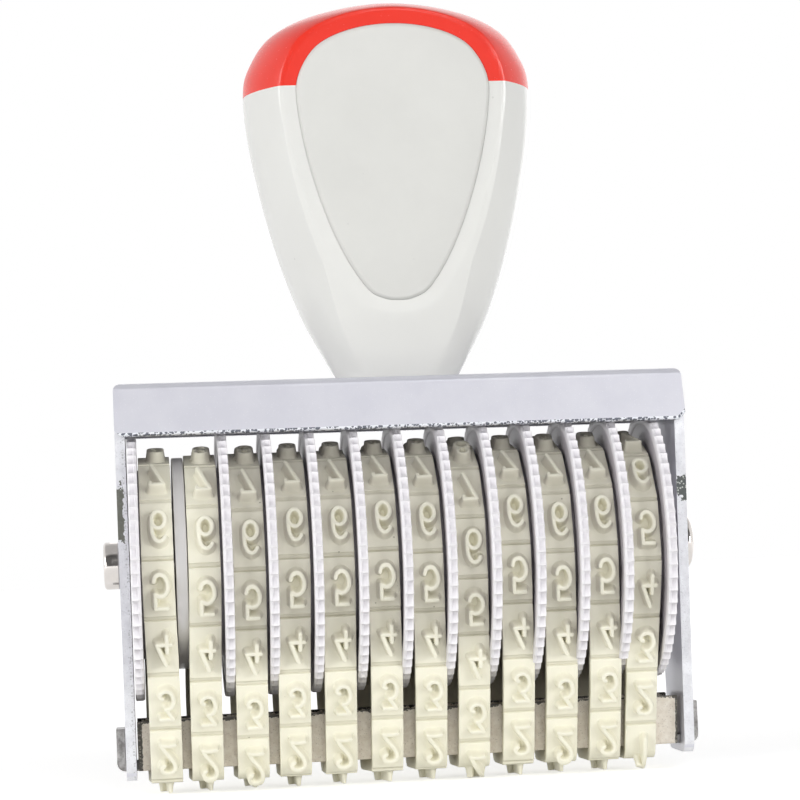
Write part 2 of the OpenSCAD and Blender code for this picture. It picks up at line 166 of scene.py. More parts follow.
def mixColor(tree, share, first, second, kind="RGBA", spots=(0, 6, 7, 2)):
    # spots are the places of the three inputs of this kind and of its output
    node = newNode(tree, "ShaderNodeMix", data_type=kind)
    for spot, value in zip(spots, (share, first, second)):
        feed(tree, node.inputs[spot], value)
    return node.outputs[spots[3]]


def mixValue(tree, share, first, second):
    return mixColor(tree, share, first, second, "FLOAT", (0, 2, 3, 0))


def fadeValue(tree, value, low, high, atLow, atHigh):
    return newNode(tree, "ShaderNodeMapRange", interpolation_type="SMOOTHSTEP", Value=value, FromMin=low,
                   FromMax=high, ToMin=atLow, ToMax=atHigh).outputs[0]


def objectPlace(tree):
    return tree.nodes.new("ShaderNodeTexCoord").outputs["Object"]


def noise(tree, place, size, detail, roughness):
    # the grains are about as wide as size, in millimetres
    return newNode(tree, "ShaderNodeTexNoise", Vector=place, Detail=detail, Roughness=roughness,
                   Scale=calc(tree, "DIVIDE", 1000, size)).outputs[0]


def fromHex(text):
    # screen colour to the linear one that the shaders take
    value = np.array([int(text[k:k + 2], 16) for k in (0, 2, 4)]) / 255
    linear = np.where(value <= 0.04045, value / 12.92, ((value + 0.055) / 1.055) ** 2.4)
    return (*(float(v) for v in linear), 1.0)


# Uneven tone: wide patches between two colours, fine grain in roughness and height
grainGroup, given, out = newGroup("unevenGrain", {
    "Color": (0.8, 0.8, 0.8, 1), "Patch Color": (0.7, 0.7, 0.7, 1), "Patch Size": 8, "Patch Amount": 0.5,
    "Grain Size": 0.3, "Rough": 0.4, "Rough Spread": 0.1}, ["Color", "Roughness", "Height"])
tree = grainGroup
place = objectPlace(tree)
patch = noise(tree, place, given["Patch Size"], 4.0, 0.6)
patch = newNode(tree, "ShaderNodeMapRange", Value=patch, FromMin=0.35, FromMax=0.65).outputs[0]
fine = noise(tree, place, given["Grain Size"], 3.0, 0.7)
share = times(tree, patch, given["Patch Amount"])
tree.links.new(mixColor(tree, share, given["Color"], given["Patch Color"]), out["Color"])
swing = times(tree, calc(tree, "SUBTRACT", fine, 0.5), given["Rough Spread"])
tree.links.new(calc(tree, "ADD", given["Rough"], swing, True), out["Roughness"])
tree.links.new(fine, out["Height"])

# Painted shade: the piece's own tone attribute, 1 in its grooves, corners and faces that lie in shade,
# darkens the colour there
recessGroup, given, out = newGroup("recessTone", {
    "Color": (0.8, 0.8, 0.8, 1), "Deep Color": (0.3, 0.3, 0.3, 1), "Amount": 0.5}, ["Color"])
tree = recessGroup
tone = newNode(tree, "ShaderNodeAttribute", attribute_name="tone").outputs["Fac"]
mask = calc(tree, "MULTIPLY", tone, given["Amount"], True)
tree.links.new(mixColor(tree, mask, given["Color"], given["Deep Color"]), out["Color"])

# Specks: one small dot in some cells of a Voronoi pattern
speckGroup, given, out = newGroup("fineSpecks", {"Cell Size": 1.0, "Dot": 0.2, "Cover": 0.3}, ["Mask"])
tree = speckGroup
size = calc(tree, "DIVIDE", 1000, given["Cell Size"])
cells = newNode(tree, "ShaderNodeTexVoronoi", Vector=objectPlace(tree), Scale=size).outputs
dot = calc(tree, "LESS_THAN", cells["Distance"], given["Dot"])
draw = newNode(tree, "ShaderNodeSeparateColor", Color=cells["Color"]).outputs[0]
chosen = calc(tree, "LESS_THAN", draw, given["Cover"])
tree.links.new(times(tree, dot, chosen), out["Mask"])

# Lines: noise drawn out along one axis, for brushed and sheared metal
lineGroup, given, out = newGroup("drawnLines", {"Stretch": (1, 1, 1), "Line Size": 0.3}, ["Height"])
tree = lineGroup
drawn = newNode(tree, "ShaderNodeMapping", Vector=objectPlace(tree), Scale=given["Stretch"])
tree.links.new(noise(tree, drawn.outputs[0], given["Line Size"], 5.0, 0.65), out["Height"])

# Torn metal and painted marks: Mask is 1 inside a ragged upright border at both ends of the stamp,
# where the sheet is torn; Reflection, a painted reflection, outside it between two heights;
# and Edge, painted shade, outside it or over the upper height; all in metres
tornAndPaintedGroup, given, out = newGroup("tornAndPaintedSide", {"Border": 0.0391, "Low": 0.035, "High": 0.043},
                                 ["Mask", "Stain", "Edge"])
tree = tornAndPaintedGroup
place = objectPlace(tree)
apart = newNode(tree, "ShaderNodeSeparateXYZ", Vector=place).outputs
wander = newNode(tree, "ShaderNodeTexNoise", Vector=place, Scale=900.0, Detail=3.0, Roughness=0.7)
ragged = times(tree, calc(tree, "SUBTRACT", wander.outputs[0], 0.5), 0.0014)
sideways = calc(tree, "ADD", calc(tree, "ABSOLUTE", apart["X"], 0), ragged)
inner = calc(tree, "LESS_THAN", sideways, given["Border"])
calmer = calc(tree, "SUBTRACT", sideways, times(tree, ragged, 0.7))
outer = calc(tree, "GREATER_THAN", calmer, given["Border"])
over = calc(tree, "GREATER_THAN", calc(tree, "ADD", apart["Z"], ragged), given["High"])
tall = calc(tree, "ADD", apart["Z"], times(tree, ragged, 3))
between = times(tree, calc(tree, "GREATER_THAN", tall, given["Low"]),
                calc(tree, "LESS_THAN", tall, given["High"]))
stain = times(tree, between, calc(tree, "SUBTRACT", 1, inner))
tree.links.new(inner, out["Mask"])
tree.links.new(stain, out["Stain"])
tree.links.new(calc(tree, "MAXIMUM", outer, over), out["Edge"])


def newMaterial(name):
    material = bpy.data.materials.new(name)
    material.use_nodes = True
    return material, material.node_tree


def grainOf(tree, finish):
    return useGroup(tree, grainGroup, Color=fromHex(finish["color"]), PatchColor=fromHex(finish["patch"]),
                    PatchSize=finish["patchSize"], PatchAmount=finish["patchAmount"],
                    GrainSize=finish["grain"], Rough=finish["rough"], RoughSpread=finish["spread"])


def dotMask(tree, cell, dot, cover):
    return useGroup(tree, speckGroup, CellSize=cell, Dot=dot, Cover=cover)["Mask"]


def speckled(tree, finish, color):
    specks = dotMask(tree, finish["cell"], finish["dot"], finish["cover"])
    return mixColor(tree, times(tree, specks, finish["specks"]), color, fromHex(finish["speck"]))


def dress(material, finish, color, roughness, height, **fixed):
    # height goes through the one Bump node, and what is fixed is set on the shader's own sockets
    tree = material.node_tree
    normal = newNode(tree, "ShaderNodeBump", Height=height, Strength=finish["bump"],
                     Distance=finish["reach"] * mm).outputs[0]
    fill(tree, tree.nodes["Principled BSDF"], BaseColor=color, Roughness=roughness, Normal=normal, **fixed)
    return material


def plasticMaterial(name, finish):
    material, tree = newMaterial(name)
    grain = grainOf(tree, finish)
    deep = useGroup(tree, recessGroup, Color=grain["Color"], DeepColor=fromHex(finish["deep"]),
                    Amount=finish["grime"])["Color"]
    return dress(material, finish, speckled(tree, finish, deep), grain["Roughness"], grain["Height"],
                 SpecularIORLevel=finish["gloss"], CoatWeight=finish["coat"],
                 CoatRoughness=finish["coatRough"])


def metalMaterial(name, finish):
    material, tree = newMaterial(name)
    grain = grainOf(tree, finish)
    color = speckled(tree, finish, grain["Color"])
    if "torn" in finish:
        low, high = finish["stain"]
        torn = useGroup(tree, tornAndPaintedGroup, Border=finish["border"], Low=low, High=high)
        dots = dotMask(tree, finish["dotCell"], finish["dotSize"], finish["dotCover"])
        share = times(tree, times(tree, torn["Mask"], dots), finish["torn"])
        color = mixColor(tree, share, color, fromHex(finish["tornColor"]))
        # outside the border: a painted reflection on the legs' edges and painted shade on the anvil, dark
        # with lighter dots
        dark = mixColor(tree, dots, fromHex(finish["dark"]), fromHex(finish["light"]))
        share = times(tree, torn[finish["part"]], finish["stainAmount"])
        color = mixColor(tree, share, color, dark)
    lines = useGroup(tree, lineGroup, Stretch=finish["stretch"], LineSize=finish["line"])["Height"]
    relief = calc(tree, "ADD", times(tree, grain["Height"], 1 - finish["lineShare"]),
                  times(tree, lines, finish["lineShare"]))
    return dress(material, finish, color, grain["Roughness"], relief, Metallic=finish["metal"])


# patchSize, grain, line, cell and reach are in millimetres, the other values are shares
plasticFinish = dict(patchAmount=0.5, grime=0.5, reach=0.03, gloss=0.5, coat=0.0, coatRough=0.2)
bandFinish = dict(
    plasticFinish, color="F5F2E0", patch="EEEBD7", patchSize=6.0, deep="8C8468", grime=0.7, grain=0.18,
    rough=0.58, spread=0.2, bump=0.25, reach=0.05, gloss=0.35, coatRough=0.3, cell=2.6, dot=0.05, cover=0.35,
    specks=0.5, speck="8E8970")
wheelFinish = dict(
    plasticFinish, color="F7F5F7", patch="F1EEF2", patchSize=3.0, deep="8B8394", grime=0.6, grain=0.15,
    rough=0.4, spread=0.15, bump=0.2, reach=0.04, cell=3.0, dot=0.05, cover=0.2, specks=0.4, speck="A79CB0")
discFinish = dict(
    plasticFinish, color="D3D1D0", patch="C8C6C6", patchSize=5.0, deep="6F6E78", grain=0.2, rough=0.32,
    spread=0.1, bump=0.15, cell=2.0, dot=0.06, cover=0.2, specks=0.3, speck="8A8993")
handleFinish = dict(
    plasticFinish, color="DFDFDB", patch="D9D9D6", patchSize=18.0, deep="B9B9B6", grain=0.5, rough=0.2,
    spread=0.08, bump=0.08, coat=0.25, coatRough=0.06, cell=3.5, dot=0.04, cover=0.25, specks=0.35,
    speck="B3B3B0")
capFinish = dict(
    handleFinish, color="E8301E", patch="E12B1B", patchSize=14.0, deep="A81E14", rough=0.26, coat=0.05,
    coatRough=0.08, specks=0.3, speck="C5261A")
plateFinish = dict(
    plasticFinish, color="D6D6D2", patch="CFCFCB", patchSize=9.0, deep="A9A9A6", grime=0.4, grain=0.25,
    rough=0.5, spread=0.15, bump=0.2, gloss=0.4, cell=2.4, dot=0.05, cover=0.3, specks=0.3, speck="B8B8B5")
# painted glints: the light specks stand in for the sparkle of the satin sheet
steelFinish = dict(
    color="D9D9E1", patch="CFCFD9", patchSize=5.0, patchAmount=0.5, grain=0.22, rough=0.36, spread=0.25,
    stretch=(0.15, 1, 1), line=0.5, lineShare=0.1, bump=0.4, reach=0.05, metal=0.45, cell=0.3, dot=0.22,
    cover=0.25, specks=0.25, speck="F4F4FA")
edgeFinish = dict(
    color="ECEDF1", patch="D3D3D8", patchSize=1.6, patchAmount=0.6, grain=0.3, rough=0.38, spread=0.3,
    stretch=(1, 0.1, 1), line=0.4, lineShare=0.6, bump=0.7, reach=0.12, metal=0.5, cell=0.22, dot=0.3,
    cover=0.3, specks=0.25, speck="8A8A8C")
# sheared edge with a painted reflection: light on the downward edges, with many dark dots for the wheels they
# reflect
shearReflectionFinish = dict(
    edgeFinish, color="F3F5F9", patch="DDE0E8", cell=0.36, dot=0.58, cover=0.7, specks=0.85, speck="333A4E")
# painted reflection: the dark patches on the tabs stand in for the dark bands they reflect
tabFinish = dict(edgeFinish, color="C2C0BE", patch="66635F", patchSize=1.1, patchAmount=0.8, specks=0.4)
anvilFinish = dict(
    color="FBF4E8", patch="E4D9CA", patchSize=0.9, patchAmount=0.7, grain=0.2, rough=0.6, spread=0.25,
    stretch=(0.2, 1, 1), line=0.4, lineShare=0.3, bump=0.6, reach=0.1, metal=0.0, cell=0.25, dot=0.3,
    cover=0.3, specks=0.35, speck="94877A")
chromeFinish = dict(
    color="DDD8D4", patch="D0CBC7", patchSize=2.0, patchAmount=0.4, grain=0.3, rough=0.12, spread=0.08,
    stretch=(1, 0.2, 0.2), line=0.3, lineShare=0.4, bump=0.12, reach=0.02, metal=1.0, cell=1.0, dot=0.1,
    cover=0.2, specks=0.3, speck="9A9694")
springFinish = dict(chromeFinish, color="9C9CA6", patch="7F7F8A", rough=0.3)
tornAndPaintedFinish = dict(
    torn=0.35, tornColor="7C7D78", dotCell=0.3, dotSize=0.45, dotCover=0.5, stainAmount=0.9, part="Stain")
# the legs' front edges: real torn dots, and a painted reflection, a dark patch between two heights
leftTornReflection = dict(tornAndPaintedFinish, border=0.0391, stain=(0.035, 0.043), dark="5A5C4C", light="63655A")
rightTornReflection = dict(tornAndPaintedFinish, border=0.0386, stain=(0.0378, 0.0415), dark="343A35", light="B9BDB6")
# the anvil: painted shade, dark with lighter dots, at its ends and along its top
anvilShade = dict(
    tornAndPaintedFinish, torn=0, border=0.0377, stain=(0, 0.01), part="Edge", dark="23231F", light="8A857C")

bandRubber = plasticMaterial("bandRubber", bandFinish)
wheelPlastic = plasticMaterial("wheelPlastic", wheelFinish)
discPlastic = plasticMaterial("discPlastic", discFinish)
handleWhite = plasticMaterial("handleWhite", handleFinish)
capRed = plasticMaterial("capRed", capFinish)
plateGrey = plasticMaterial("plateGrey", plateFinish)
satinSteel = metalMaterial("satinSteel", steelFinish)
leftEdge = metalMaterial("leftEdge", {**edgeFinish, **leftTornReflection})
rightEdge = metalMaterial("rightEdge", {**edgeFinish, **rightTornReflection})
anvilSheet = metalMaterial("anvilSheet", {**anvilFinish, **anvilShade})
brightSteel = metalMaterial("brightSteel", chromeFinish)
springSteel = metalMaterial("springSteel", springFinish)
shearAndReflection = metalMaterial("shearAndReflection", shearReflectionFinish)
tabSteel = metalMaterial("tabSteel", tabFinish)
print("materials made:", len(bpy.data.materials))


# Numeral bands
band = {
    "width": 4.42, "thick": 1.7, "drop": 28.8, "flat": 3.2, "edge": 0.5, "inside": 13.5, "tiles": 15,
    "stretch": 1.0, "groove": 0.6, "corner": 0.09, "wave": 0.03,
    "left": [-36.95, -30.6, -24.5, -18.4, -12.3, -6.2, -0.1, 6.0, 12.1, 18.2, 24.3, 30.4],
    "wind": [0.5, -0.6, -1.4, 0, 0, 0.5, 0, -3.7, 0.6, -0.7, 0, 5.8],         # how far each is turned on
    "lean": [0.3, -0.35, -0.1, -0.3, 0, 0.35, 0.45, 0.4, 0.6, 0.6, 0.7, -0.3],    # sideways at the anvil
    "rear": [-0.4, -0.4, -0.4, -0.2, -0.2, -1.0, -0.6, -0.4, -0.3, -0.3, -0.3, -0.3]}    # and behind it
faceRadius = band["inside"] + band["thick"]
edgeFar = math.hypot(band["flat"], band["drop"] - band["edge"])
edgeAngle = math.atan2(band["flat"], band["drop"] - band["edge"])
slant = math.asin((band["inside"] - band["edge"]) / edgeFar) - edgeAngle
runLength = math.sqrt(edgeFar ** 2 - (band["inside"] - band["edge"]) ** 2)
edgeLength = (band["edge"] + band["thick"]) * (math.pi / 2 - slant)
runStart = band["flat"] + edgeLength
drumStart = runStart + runLength
halfLoop = drumStart + faceRadius * (math.pi / 2 + slant)
tileLength = 2 * halfLoop / band["tiles"]
tileHalf = (tileLength - band["groove"]) / 2


def halfWay(s):
    return np.abs(s - 2 * halfLoop * np.round(s / (2 * halfLoop)))


def eased(value):
    value = np.clip(value, 0, 1)
    return value * value * (3 - 2 * value)


def bandPath(s, h):
    # A flat, an arc round the anvil's edge, a straight run and an arc round the drum, mirrored for the
    # back. A point is the place on the inside at length s plus h times the normal there. The rubber is
    # stretched a little over the front of the drum and slack again behind it.
    wrapped = s - 2 * halfLoop * np.round(s / (2 * halfLoop))
    pulled = np.where(wrapped > 0, eased((wrapped - 22) / 26), 1 - eased((wrapped + halfLoop - 4) / 30))
    wrapped = s + band["stretch"] * pulled
    wrapped = wrapped - 2 * halfLoop * np.round(wrapped / (2 * halfLoop))
    a = np.abs(wrapped)
    turn = np.clip((a - band["flat"]) / edgeLength, 0, 1) * (math.pi / 2 - slant)
    run = np.clip(a - runStart, 0, runLength)
    y = -np.minimum(a, band["flat"]) - (band["edge"] + h) * np.sin(turn) - run * math.sin(slant)
    z = band["edge"] - band["drop"] - (band["edge"] + h) * np.cos(turn) + run * math.cos(slant)
    angle = slant - (a - drumStart) / faceRadius
    onDrum = a > drumStart
    y = np.where(onDrum, -(band["inside"] + h) * np.cos(angle), y)
    z = np.where(onDrum, -(band["inside"] + h) * np.sin(angle), z)
    return np.where(wrapped < 0, -y, y), axleHeight + z


def tilePoint(centre, along, h):
    # On the drum a tile is straight between its ends, elsewhere it follows the path
    lowY, lowZ = bandPath(centre - tileHalf, band["thick"])
    highY, highZ = bandPath(centre + tileHalf, band["thick"])
    acrossY, acrossZ = (highY - lowY) / (2 * tileHalf), (highZ - lowZ) / (2 * tileHalf)
    length = np.hypot(acrossY, acrossZ)
    lift = (h - band["thick"]) / length
    straightY = (lowY + highY) / 2 + along * acrossY - lift * acrossZ
    straightZ = (lowZ + highZ) / 2 + along * acrossZ + lift * acrossY
    bentY, bentZ = bandPath(centre + along, h)
    straight = (halfWay(centre - tileHalf) > drumStart) & (halfWay(centre + tileHalf) > drumStart)
    straight = straight & (np.abs(along) <= tileHalf + 1e-6)
    return np.where(straight, straightY, bentY), np.where(straight, straightZ, bentZ)


def sideShift(y, z, lean):
    # a band that leans stands off by this much at the anvil, its rear run by more, its part on the drum not
    return (lean[0] + lean[1] * eased((y + 3) / 6)) * eased((axleHeight - z) / 20)


def bandBody(left, wind, lean, seed):
    # A ring of points, outer face, rounded corners, sides and inner face, is carried along the path.
    # The outer face sinks by the groove's depth between two tiles.
    rng = np.random.default_rng(seed)
    # a groove is a shallow ledge under one tile and a narrow cut over the next
    ledge = np.array([0, 0.1, 0.25, 0.32, 0.35, 0.38, 0.45, 0.58])     # distances from the groove's middle
    ledgeSink = np.array([0.24, 0.22, 0.2, 0.13, 0.05, 0.02, 0.004, 0])
    cut = np.array([0.55, 0.42, 0.35, 0.31, 0.28, 0.22, 0.17, 0.12])
    cutSink = np.array([0, 0.004, 0.02, 0.06, 0.3, 0.36, 0.32, 0.25])
    inner = np.linspace(-tileLength / 2 + 0.7, tileLength / 2 - 0.7, 18)
    along = np.concatenate([ledge - tileLength / 2, inner, tileLength / 2 - cut])
    depth = np.concatenate([ledgeSink, 0 * inner, cutSink])
    centre = (np.arange(band["tiles"]) * tileLength + wind)[:, None]
    tileDeep = rng.uniform(0.8, 1.15, (band["tiles"], 1))
    s = centre + along
    w, c = band["width"] / 2, band["corner"]
    outX = np.array([-w, -w + c * 0.3, -w + c, -w / 2, 0, w / 2, w - c, w - c * 0.3, w])
    outH = np.array([-c, -c * 0.3, 0, 0, 0, 0, 0, -c * 0.3, -c])
    inX = np.array([w, w - 0.1, 0.1 - w, -w])
    inH = np.array([0.1, 0, 0, 0.1])
    height = band["thick"] - (depth * tileDeep)[..., None] + outH
    outY, outZ = tilePoint(centre[..., None] + 0 * height, along[None, :, None] + 0 * height, height)
    inY, inZ = bandPath(s[..., None] + 0 * inH, inH + 0 * s[..., None])
    wave = sum(np.sin(2 * np.pi * k * s / (2 * halfLoop) + rng.uniform(0, 6.3)) for k in (9, 23, 41, 67)) / 4
    squeeze = 1 - band["wave"] * (0.5 + 0.5 * wave)[..., None] / w
    x = left + w + np.concatenate([outX + 0 * height, inX + 0 * inY], -1) * squeeze
    y, z = np.concatenate([outY, inY], -1), np.concatenate([outZ, inZ], -1)
    points = np.stack([x + sideShift(y, z, lean), y, z], -1)
    # painted shade: the tone darkens the grooves, the band's two outer edges and its inner face
    dark = np.concatenate([(0.42 * (depth / 0.36) ** 0.7)[None, :, None] * (outX * 0 + 1) + 0 * height,
                           0.7 + 0 * inY], -1)
    dark[..., 0] = dark[..., 8] = np.maximum(dark[..., 0], 0.1)
    rows = band["tiles"] * len(along)
    return points.reshape(-1, 3), gridQuads(rows, 13, True, True), dark.ravel()


# Strokes of the numerals as they print, in millimetres about the middle; four numbers are a ring
numeral = {
    "strokes": {
        "0": [(0, 0, 0.92, 2.1)],
        "1": [[(0.15, -2.1), (0.15, 2.1)], [(0.15, 2.1), (-0.3, 1.7), (-0.75, 1.45)]],
        "2": [[(-0.62, 1.0), (-0.95, 1.3), (-0.8, 1.85), (-0.1, 2.1), (0.65, 1.85), (0.92, 1.2), (0.65, 0.35),
               (0.0, -0.6), (-0.6, -1.4), (-0.92, -2.1)], [(-0.92, -2.1), (0, -2.0), (0.92, -2.1)]],
        "3": [[(-0.8, 2.1), (0.85, 2.1)], [(0.85, 2.1), (0.4, 1.35), (-0.1, 0.6)],
              [(-0.1, 0.6), (0.5, 0.4), (0.92, -0.25), (0.92, -1.05), (0.55, -1.85), (-0.1, -2.1),
               (-0.75, -1.8), (-0.9, -1.25), (-0.6, -1.0)]],
        "4": [[(0.2, 2.1), (-0.4, 0.6), (-0.95, -0.85)], [(-0.95, -0.85), (0.95, -0.85)],
              [(0.42, 0.25), (0.42, -2.1)]],
        "5": [[(-0.8, 2.1), (0.8, 2.1)], [(-0.8, 2.1), (-0.8, 0.35)],
              [(-0.8, 0.3), (-0.15, 0.55), (0.5, 0.35), (0.92, -0.25), (0.92, -1.1), (0.5, -1.87),
               (-0.1, -2.1), (-0.7, -1.85), (-0.92, -1.3)]],
        "6": [[(0.85, 1.45), (0.6, 1.85), (0.1, 2.1), (-0.45, 1.85), (-0.8, 1.15), (-0.92, 0.2),
               (-0.92, -0.9)], (0, -0.93, 0.92, 1.17)],
        "7": [[(-0.9, 1.65), (-0.9, 2.1)], [(-0.9, 2.1), (0.9, 2.1)],
              [(0.9, 2.1), (0.12, 0.0), (-0.66, -2.1)]],
        "8": [(0, 1.05, 0.76, 1.05), (0, -1.0, 0.92, 1.1)],
        "9": [[(-0.85, -1.45), (-0.6, -1.85), (-0.1, -2.1), (0.45, -1.85), (0.8, -1.15), (0.92, -0.2),
               (0.92, 0.9)], (0, 0.93, 0.92, 1.17)]},
    "order": "1234567890",
    "half": np.array([0, 0.72, 0.64, 0.5, 0.41, 0.34, 0.28, 0.24, 0.18, 0]),     # half widths of the ridge
    "rise": np.array([-0.25, -0.25, 0, 0.12, 0.42, 0.9, 1.36, 1.46, 1.5, 1.5]),  # and the heights they are at
    "shift": 0.28}


def strokeRidge(stroke):
    # The ridge's section is carried along the stroke, and turned about both of its ends
    half, rise = numeral["half"][:, None], numeral["rise"][:, None]
    if isinstance(stroke, tuple):
        turn = np.linspace(0, 2 * np.pi, 36, endpoint=False)
        core = np.stack([stroke[0] + stroke[2] * np.cos(turn), stroke[1] + stroke[3] * np.sin(turn)], 1)
        out = np.stack([stroke[3] * np.cos(turn), stroke[2] * np.sin(turn)], 1)
        out = out / np.linalg.norm(out, axis=1, keepdims=True)
        side = np.concatenate([half[1:], -half[-2:0:-1]])
        level = np.concatenate([rise[1:], rise[-2:0:-1]])
        u, v = (core[:, k] + side * out[:, k] for k in (0, 1))
        return u, v, level + 0 * u, gridQuads(len(side), 36, True, True)
    steps = 6 if len(stroke) == 2 else 4
    core = smoothPath(stroke, steps)
    along = np.gradient(core, axis=0)
    along = along / np.linalg.norm(along, axis=1, keepdims=True)
    out = along[:, ::-1] * [-1, 1]
    bend = np.linspace(0, np.pi, 8)[1:-1, None]
    spine = np.concatenate([core, core[-1] + 0 * bend, core[::-1], core[0] + 0 * bend])
    way = np.concatenate([out, out[-1] * np.cos(bend) + along[-1] * np.sin(bend),
                          -out[::-1], -out[0] * np.cos(bend) - along[0] * np.sin(bend)])
    u, v = (spine[:, k] + half * way[:, k] for k in (0, 1))
    return u, v, rise + 0 * u, gridQuads(len(half), len(spine), False, True)


def bandNumerals(left, wind, lean):
    # A numeral's right is the stamp's right, and its top points back along the band: mirror writing
    allPoints, allQuads, allTones, count = [], [], [], 0
    for place, digit in enumerate(numeral["order"]):
        for turn, stroke in enumerate(numeral["strokes"][digit]):
            u, v, level, quads = strokeRidge(stroke)
            level = level * (1 + 0.009 * turn)                       # crossing ridges don't share a face
            y, z = tilePoint(place * tileLength + wind + 0 * u, -v, band["thick"] + level)
            x = left + band["width"] / 2 + numeral["shift"] + u + sideShift(y, z, lean)
            allPoints.append(np.stack([x, y, z], -1).reshape(-1, 3))
            allQuads.append(quads + count)
            # painted shade: the tone darkens the ridge's foot and lower flank, not its top
            allTones.append(np.interp(level.ravel(), [0, 0.2, 0.9, 1.4, 1.5], [0.1, 0.14, 0.1, 0, 0]))
            count += u.size
    return np.concatenate(allPoints), np.concatenate(allQuads), np.concatenate(allTones)


leans = zip(band["lean"], band["rear"])
for index, (left, wind, lean) in enumerate(zip(band["left"], band["wind"], leans), 1):
    bodyPoints, bodyQuads, bodyTone = bandBody(left, wind, lean, 40 + index)
    typePoints, typeQuads, typeTone = bandNumerals(left, wind, lean)
    mesh = buildMesh(f"numeralBand{index}", np.concatenate([bodyPoints, typePoints]),
                     np.concatenate([bodyQuads, typeQuads + len(bodyPoints)]),
                     np.concatenate([bodyTone, typeTone]), sharp=50)
    addPiece(f"numeralBand{index}", mesh, bandRubber, "stamp", [f"band_{index}"])
print("bands made:", len(band["left"]))


# Thumbwheels
wheel = {
    "count": 12, "teeth": 65, "radius": 19.1, "rim": 1.6, "scoop": 0.58, "ring": 1.7, "sink": 0.2,
    "slot": 4.4, "drum": 13.3, "drumWall": 1.6, "hub": 4.6, "bore": 2.05, "firstLeft": -38.4,
    "secondLeft": -26.2, "pitch": 6.1, "thick": [1.3] + 11 * [1.32],
    "turn": [0.61, 0.03, 0.08, 0.15, 0.28, 0.01, 0.54, 0.34, 0.3, 0.86, 0.3, 0.68]}      # in teeth


def wheelSurface(index):
    # The section, a closed line of radius and depth, is carried round the axle. Its outer points follow
    # the scoops: between two tips the radius drops by the sine of the step's share, skewed to its top.
    share = np.array([0, 0.04, 0.13, 0.27, 0.47, 0.7, 0.9])
    sunk = np.sin(np.pi * share ** 0.85)
    step = 2 * np.pi / wheel["teeth"]
    angle = ((np.arange(wheel["teeth"])[:, None] + share + wheel["turn"][index - 1]) * step).ravel()[:, None]
    scoop = np.tile(sunk, wheel["teeth"])[:, None]
    tip, rim = wheel["radius"], wheel["thick"][index - 1]
    ring = tip - wheel["ring"]
    low, high, far = wheel["sink"], rim - wheel["sink"], wheel["rim"] + wheel["slot"] - 0.1
    inside, hub, drum = wheel["drum"] - wheel["drumWall"], wheel["hub"], wheel["drum"]
    radius = np.array([wheel["bore"], hub - 0.15, hub, hub + 0.1, ring - 0.15, ring - 0.03, ring + 0.1,
                       tip - 1.1, tip - 0.25, tip - 0.08, tip, tip, tip, tip, tip - 0.1, tip - 0.3,
                       tip - 1.1,
                       ring + 0.1, ring - 0.03, ring - 0.15, drum + 0.1, drum, drum, drum - 0.1, inside + 0.1,
                       inside, inside, hub, hub, wheel["bore"]])
    depth = np.array([0, 0, 0.1, low, low, 0.08, 0,
                      0, 0, 0.05, 0.14, 0.24 * rim, 0.62 * rim, 0.72 * rim, rim - 0.05, rim, rim,
                      rim, rim - 0.08, high, high, high + 0.1, far - 0.1, far, far,
                      far - 0.1, rim, rim, far, far])
    follows = np.interp(np.arange(30), [6, 7, 8, 9, 10, 11, 12, 13, 14, 15, 16, 17],
                        [0, 0.35, 0.75, 0.85, 0.92, 1, 1, 0.4, 0.3, 0.2, 0.1, 0])
    radius = radius - wheel["scoop"] * follows * scoop
    left = wheel["firstLeft"] if index == 1 else wheel["secondLeft"] + wheel["pitch"] * (index - 2)
    x = left + depth if index == 1 else left + wheel["rim"] - depth
    y, z = -radius * np.cos(angle), axleHeight - radius * np.sin(angle)
    points = np.stack(np.broadcast_arrays(x, y, z), -1)
    # painted shade: the tone darkens the scoops, the web, hub and drum faces, and the rim's strip next to its
    # band
    tone = np.where(follows == 1, 1, 0.2 * follows) * scoop * 0.4
    tone = tone + np.where((radius < ring) | (follows == 0), 0.95, 0)
    tone = tone + np.interp(np.arange(30), [12, 13, 14, 15, 16, 17], [0, 0.14, 0.16, 0.28, 0.4, 0])
    return points.reshape(-1, 3), gridQuads(len(angle), 30, True, True), tone.ravel()


for index in range(1, wheel["count"] + 1):
    mesh = buildMesh(f"thumbwheel{index}", *wheelSurface(index), sharp=38)
    addPiece(f"thumbwheel{index}", mesh, wheelPlastic, f"thumbwheel_{index}", [f"wheel_{index}"])
print("wheels made:", wheel["count"])


# Turned pieces on the axle, each a section carried round it
turned = {
    "bore": 2.05, "disc": 14.9, "discLeft": -32.3, "discWidth": 1.6, "axle": 2.0, "axleEnd": -41.54,
    "head": 4.0, "headEdge": 0.95, "dome": 1.15, "nut": 3.35, "nutLength": 2.1, "halfFrame": 40.0,
    "spring": 5.6, "springBore": 2.1, "springRight": 38.5, "springSheet": 0.5, "springRise": 1.5}


def addTurned(name, x, radius, steps, sharp, material, node):
    addPiece(name, buildMesh(name, *lathe(x, radius, steps), sharp=sharp), material, "stamp", [node])


bore, disc, width = turned["bore"], turned["disc"], turned["discWidth"]
discX = turned["discLeft"] + np.array([0, 0, 0.05, 0.2, width / 2, width - 0.2, width - 0.05, width, width])
discRadius = [bore, disc - 0.2, disc - 0.06, disc, disc, disc, disc - 0.06, disc - 0.2, bore]
addTurned("separatorDisc", discX, discRadius, 128, 35, discPlastic, "separator_disc")

